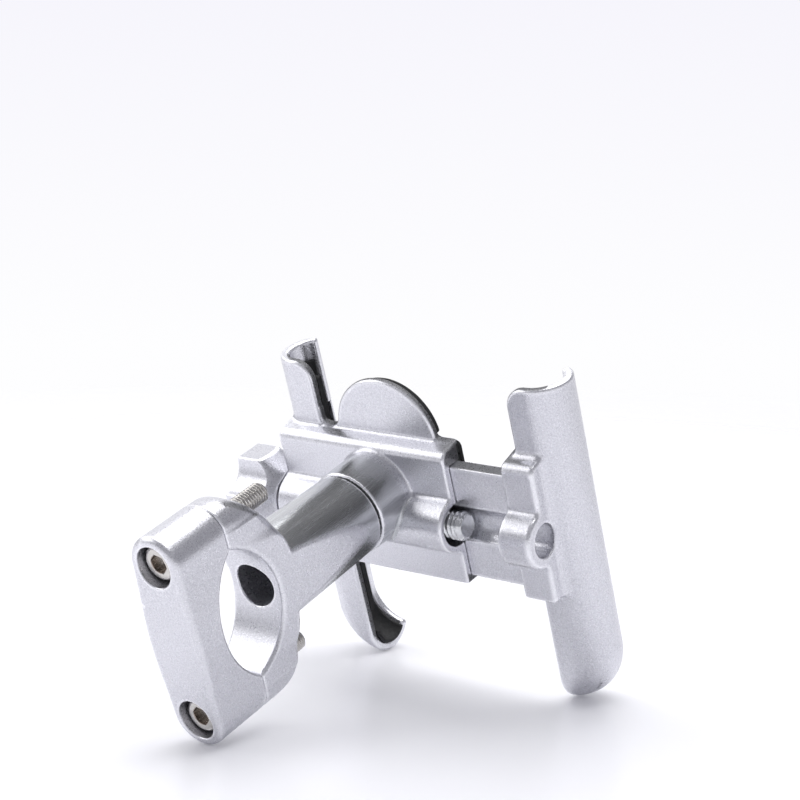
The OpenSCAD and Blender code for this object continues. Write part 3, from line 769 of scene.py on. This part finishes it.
def make_floor():
    """Pale floor that fades out with distance, so that it has no horizon, and that glows faintly as painted
    light.
    """
    reach = 1.5
    side = Vector((1, 0, 0))
    ahead = Vector((0, math.cos(tilt), math.sin(tilt)))
    centre = floor_up * (floor_height * MM)
    signs = ((-1, -1), (1, -1), (1, 1), (-1, 1))
    corners = [centre + side * a * reach + ahead * b * reach for a, b in signs]
    floor = staged("floor", [tuple(c) for c in corners], [(0, 1, 2, 3)])
    made = bpy.data.materials.new("floor_white")
    made.use_nodes = True
    tree = made.node_tree
    shader = tree.nodes["Principled BSDF"]
    white = ramp(tree, grain(tree, 60), (0.86, 0.86, 0.89), (0.89, 0.89, 0.92))
    tree.links.new(white, shader.inputs["Base Color"])
    shader.inputs["Roughness"].default_value = 0.28
    shader.inputs["Specular IOR Level"].default_value = 0.3
    # Painted light: the floor glows. For the camera the glow is even; for light bounced onto the object and
    # for its reflections the glow grows towards one side.
    shader.inputs["Emission Color"].default_value = (0.97, 0.97, 1.0, 1)
    path = node(tree, "ShaderNodeLightPath")
    spot = node(tree, "ShaderNodeTexCoord")
    across = node(tree, "ShaderNodeVectorMath", operation="DOT_PRODUCT")
    across.inputs[1].default_value = (-0.68, -0.73, 0)
    tree.links.new(spot.outputs["Object"], across.inputs[0])
    glow = node(tree, "ShaderNodeMixRGB")
    tree.links.new(path.outputs["Is Camera Ray"], glow.inputs["Fac"])
    tree.links.new(ramp(tree, across.outputs["Value"], 0.0, 0.18, -0.12, 0.15), glow.inputs[1])
    glow.inputs[2].default_value = (0.11, 0.11, 0.11, 1)
    tree.links.new(glow.outputs["Color"], shader.inputs["Emission Strength"])
    place = node(tree, "ShaderNodeTexCoord")
    away = node(tree, "ShaderNodeVectorMath", operation="LENGTH")
    tree.links.new(place.outputs["Object"], away.inputs[0])
    clear = node(tree, "ShaderNodeBsdfTransparent")
    fade = node(tree, "ShaderNodeMixShader")
    tree.links.new(ramp(tree, away.outputs["Value"], 0.0, 1.0, 0.16, 0.50), fade.inputs["Fac"])
    tree.links.new(shader.outputs["BSDF"], fade.inputs[1])
    tree.links.new(clear.outputs["BSDF"], fade.inputs[2])
    one_sided(tree, fade.outputs["Shader"])
    paint(floor, made)


def make_world():
    """The camera sees a plain pale backdrop. The object sees a pale floor and wall, and a greyer room."""
    world = bpy.data.worlds.new("studio")
    world.use_nodes = True
    bpy.context.scene.world = world
    tree = world.node_tree
    place = node(tree, "ShaderNodeTexCoord")
    height = node(tree, "ShaderNodeVectorMath", operation="DOT_PRODUCT")
    height.inputs[1].default_value = tuple(floor_up)
    tree.links.new(place.outputs["Generated"], height.inputs[0])
    rise = ramp(tree, height.outputs["Value"], 0.0, 1.0, -0.13, 0.07)
    backdrop = ramp(tree, rise, (0.99, 0.99, 1.0), (0.91, 0.90, 0.97), 0.0, 1.0)
    room = ramp(tree, rise, (0.90, 0.90, 0.94), (0.34, 0.34, 0.37), 0.5, 1.0)
    behind = node(tree, "ShaderNodeVectorMath", operation="DOT_PRODUCT")
    behind.inputs[1].default_value = (0.68, -0.73, 0.08)
    tree.links.new(place.outputs["Generated"], behind.inputs[0])
    wall = node(tree, "ShaderNodeMixRGB")
    tree.links.new(ramp(tree, behind.outputs["Value"], 0.0, 1.0, 0.72, 0.94), wall.inputs["Fac"])
    tree.links.new(room, wall.inputs[1])
    wall.inputs[2].default_value = (0.96, 0.96, 0.99, 1)
    path = node(tree, "ShaderNodeLightPath")
    mix = node(tree, "ShaderNodeMixRGB")
    tree.links.new(path.outputs["Is Camera Ray"], mix.inputs["Fac"])
    tree.links.new(wall.outputs["Color"], mix.inputs[1])
    tree.links.new(backdrop, mix.inputs[2])
    tree.links.new(mix.outputs["Color"], tree.nodes["Background"].inputs["Color"])


def area_light(name, place, target, width, height, power):
    lamp = bpy.data.lights.new(name, "AREA")
    lamp.shape = "RECTANGLE"
    lamp.size = width
    lamp.size_y = height
    lamp.energy = power
    made = bpy.data.objects.new(name, lamp)
    made.location = place
    made.rotation_euler = (Vector(target) - Vector(place)).to_track_quat("-Z", "Y").to_euler()
    bpy.context.scene.collection.objects.link(made)


def make_camera():
    forward = Vector((0.62091, -0.67453, -0.39935)).normalized()
    up = Vector((0.10652, -0.43212, 0.89550))
    right = forward.cross(up).normalized()
    up = right.cross(forward)
    lens = bpy.data.cameras.new("camera")
    lens.lens = 95.33
    lens.sensor_width = 36
    lens.clip_start = 0.01
    made = bpy.data.objects.new("camera", lens)
    turn = Matrix((right, up, -forward)).transposed()
    made.matrix_world = Matrix.Translation(Vector((-0.31766, 0.33887, 0.22170))) @ turn.to_4x4()
    bpy.context.scene.collection.objects.link(made)
    bpy.context.scene.camera = made


def dark_card():
    """A black card where the phone would be. Only reflections see it, as they would see the phone."""
    low_x, high_x = (MOVING_TURN_X - RIM_AT - 4.5) * MM, (FIXED_TURN_X + RIM_AT + 4.5) * MM
    low_z, high_z = (TURN_Z - 10) * MM, 0.107
    corners = [(high_x, 0, low_z), (low_x, 0, low_z), (low_x, 0, high_z), (high_x, 0, high_z)]
    card = staged("reflection_card", corners, [(0, 1, 2, 3)])
    made = bpy.data.materials.new("card_black")
    made.use_nodes = True
    tree = made.node_tree
    shader = tree.nodes["Principled BSDF"]
    tree.links.new(ramp(tree, grain(tree, 40), (0.010, 0.010, 0.012), (0.014, 0.014, 0.016)),
                   shader.inputs["Base Color"])
    shader.inputs["Roughness"].default_value = 0.35
    one_sided(tree, shader.outputs["BSDF"])
    paint(card, made)
    card.visible_camera = False
    card.visible_diffuse = False
    card.visible_shadow = False
    card.visible_transmission = False


make_floor()
make_world()
make_camera()
dark_card()
area_light("top_softbox", (0.02, -0.34, 0.66), (0, 0.02, 0), 0.8, 0.7, 5.0)
area_light("left_softbox", (0.60, 0.12, 0.50), (0, 0.03, 0), 0.9, 0.5, 2.5)
bpy.context.scene.view_settings.view_transform = "Standard"
bpy.context.scene.view_settings.look = "None"
